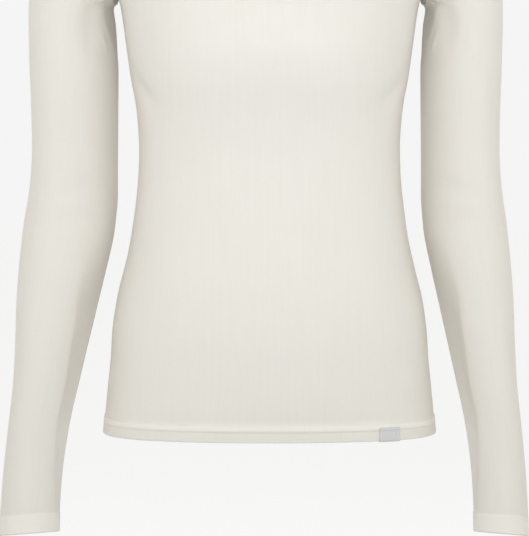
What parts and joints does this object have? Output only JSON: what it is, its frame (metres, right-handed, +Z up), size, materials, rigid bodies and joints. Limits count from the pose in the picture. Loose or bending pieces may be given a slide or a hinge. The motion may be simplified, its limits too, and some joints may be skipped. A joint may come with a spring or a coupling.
{
  "type": "thermal base layer top",
  "caption": "Women's long-sleeved thermal base layer top in smooth ivory knit, hollow as when worn, with a crew neck, turned-up hem and cuffs and a blank grey hem label",
  "frame": {"origin": "midway between the two points where the shoulder seams meet the neck seam, where the wearer's shoulders hold the top", "axes": "+Z up the body, front of the top towards -Y, wearer's left towards +X"},
  "size_m": [0.4885, 0.2327, 0.713],
  "materials": {
    "cloth": "smooth matt fine knit",
    "label": "matt woven tape"
  },
  "bodies": {
    "root": {"front": "cloth", "back": "cloth", "sleeve_right": "cloth", "sleeve_left": "cloth", "neckband": "cloth", "hem_label": "label"}
  },
  "joints": []
}
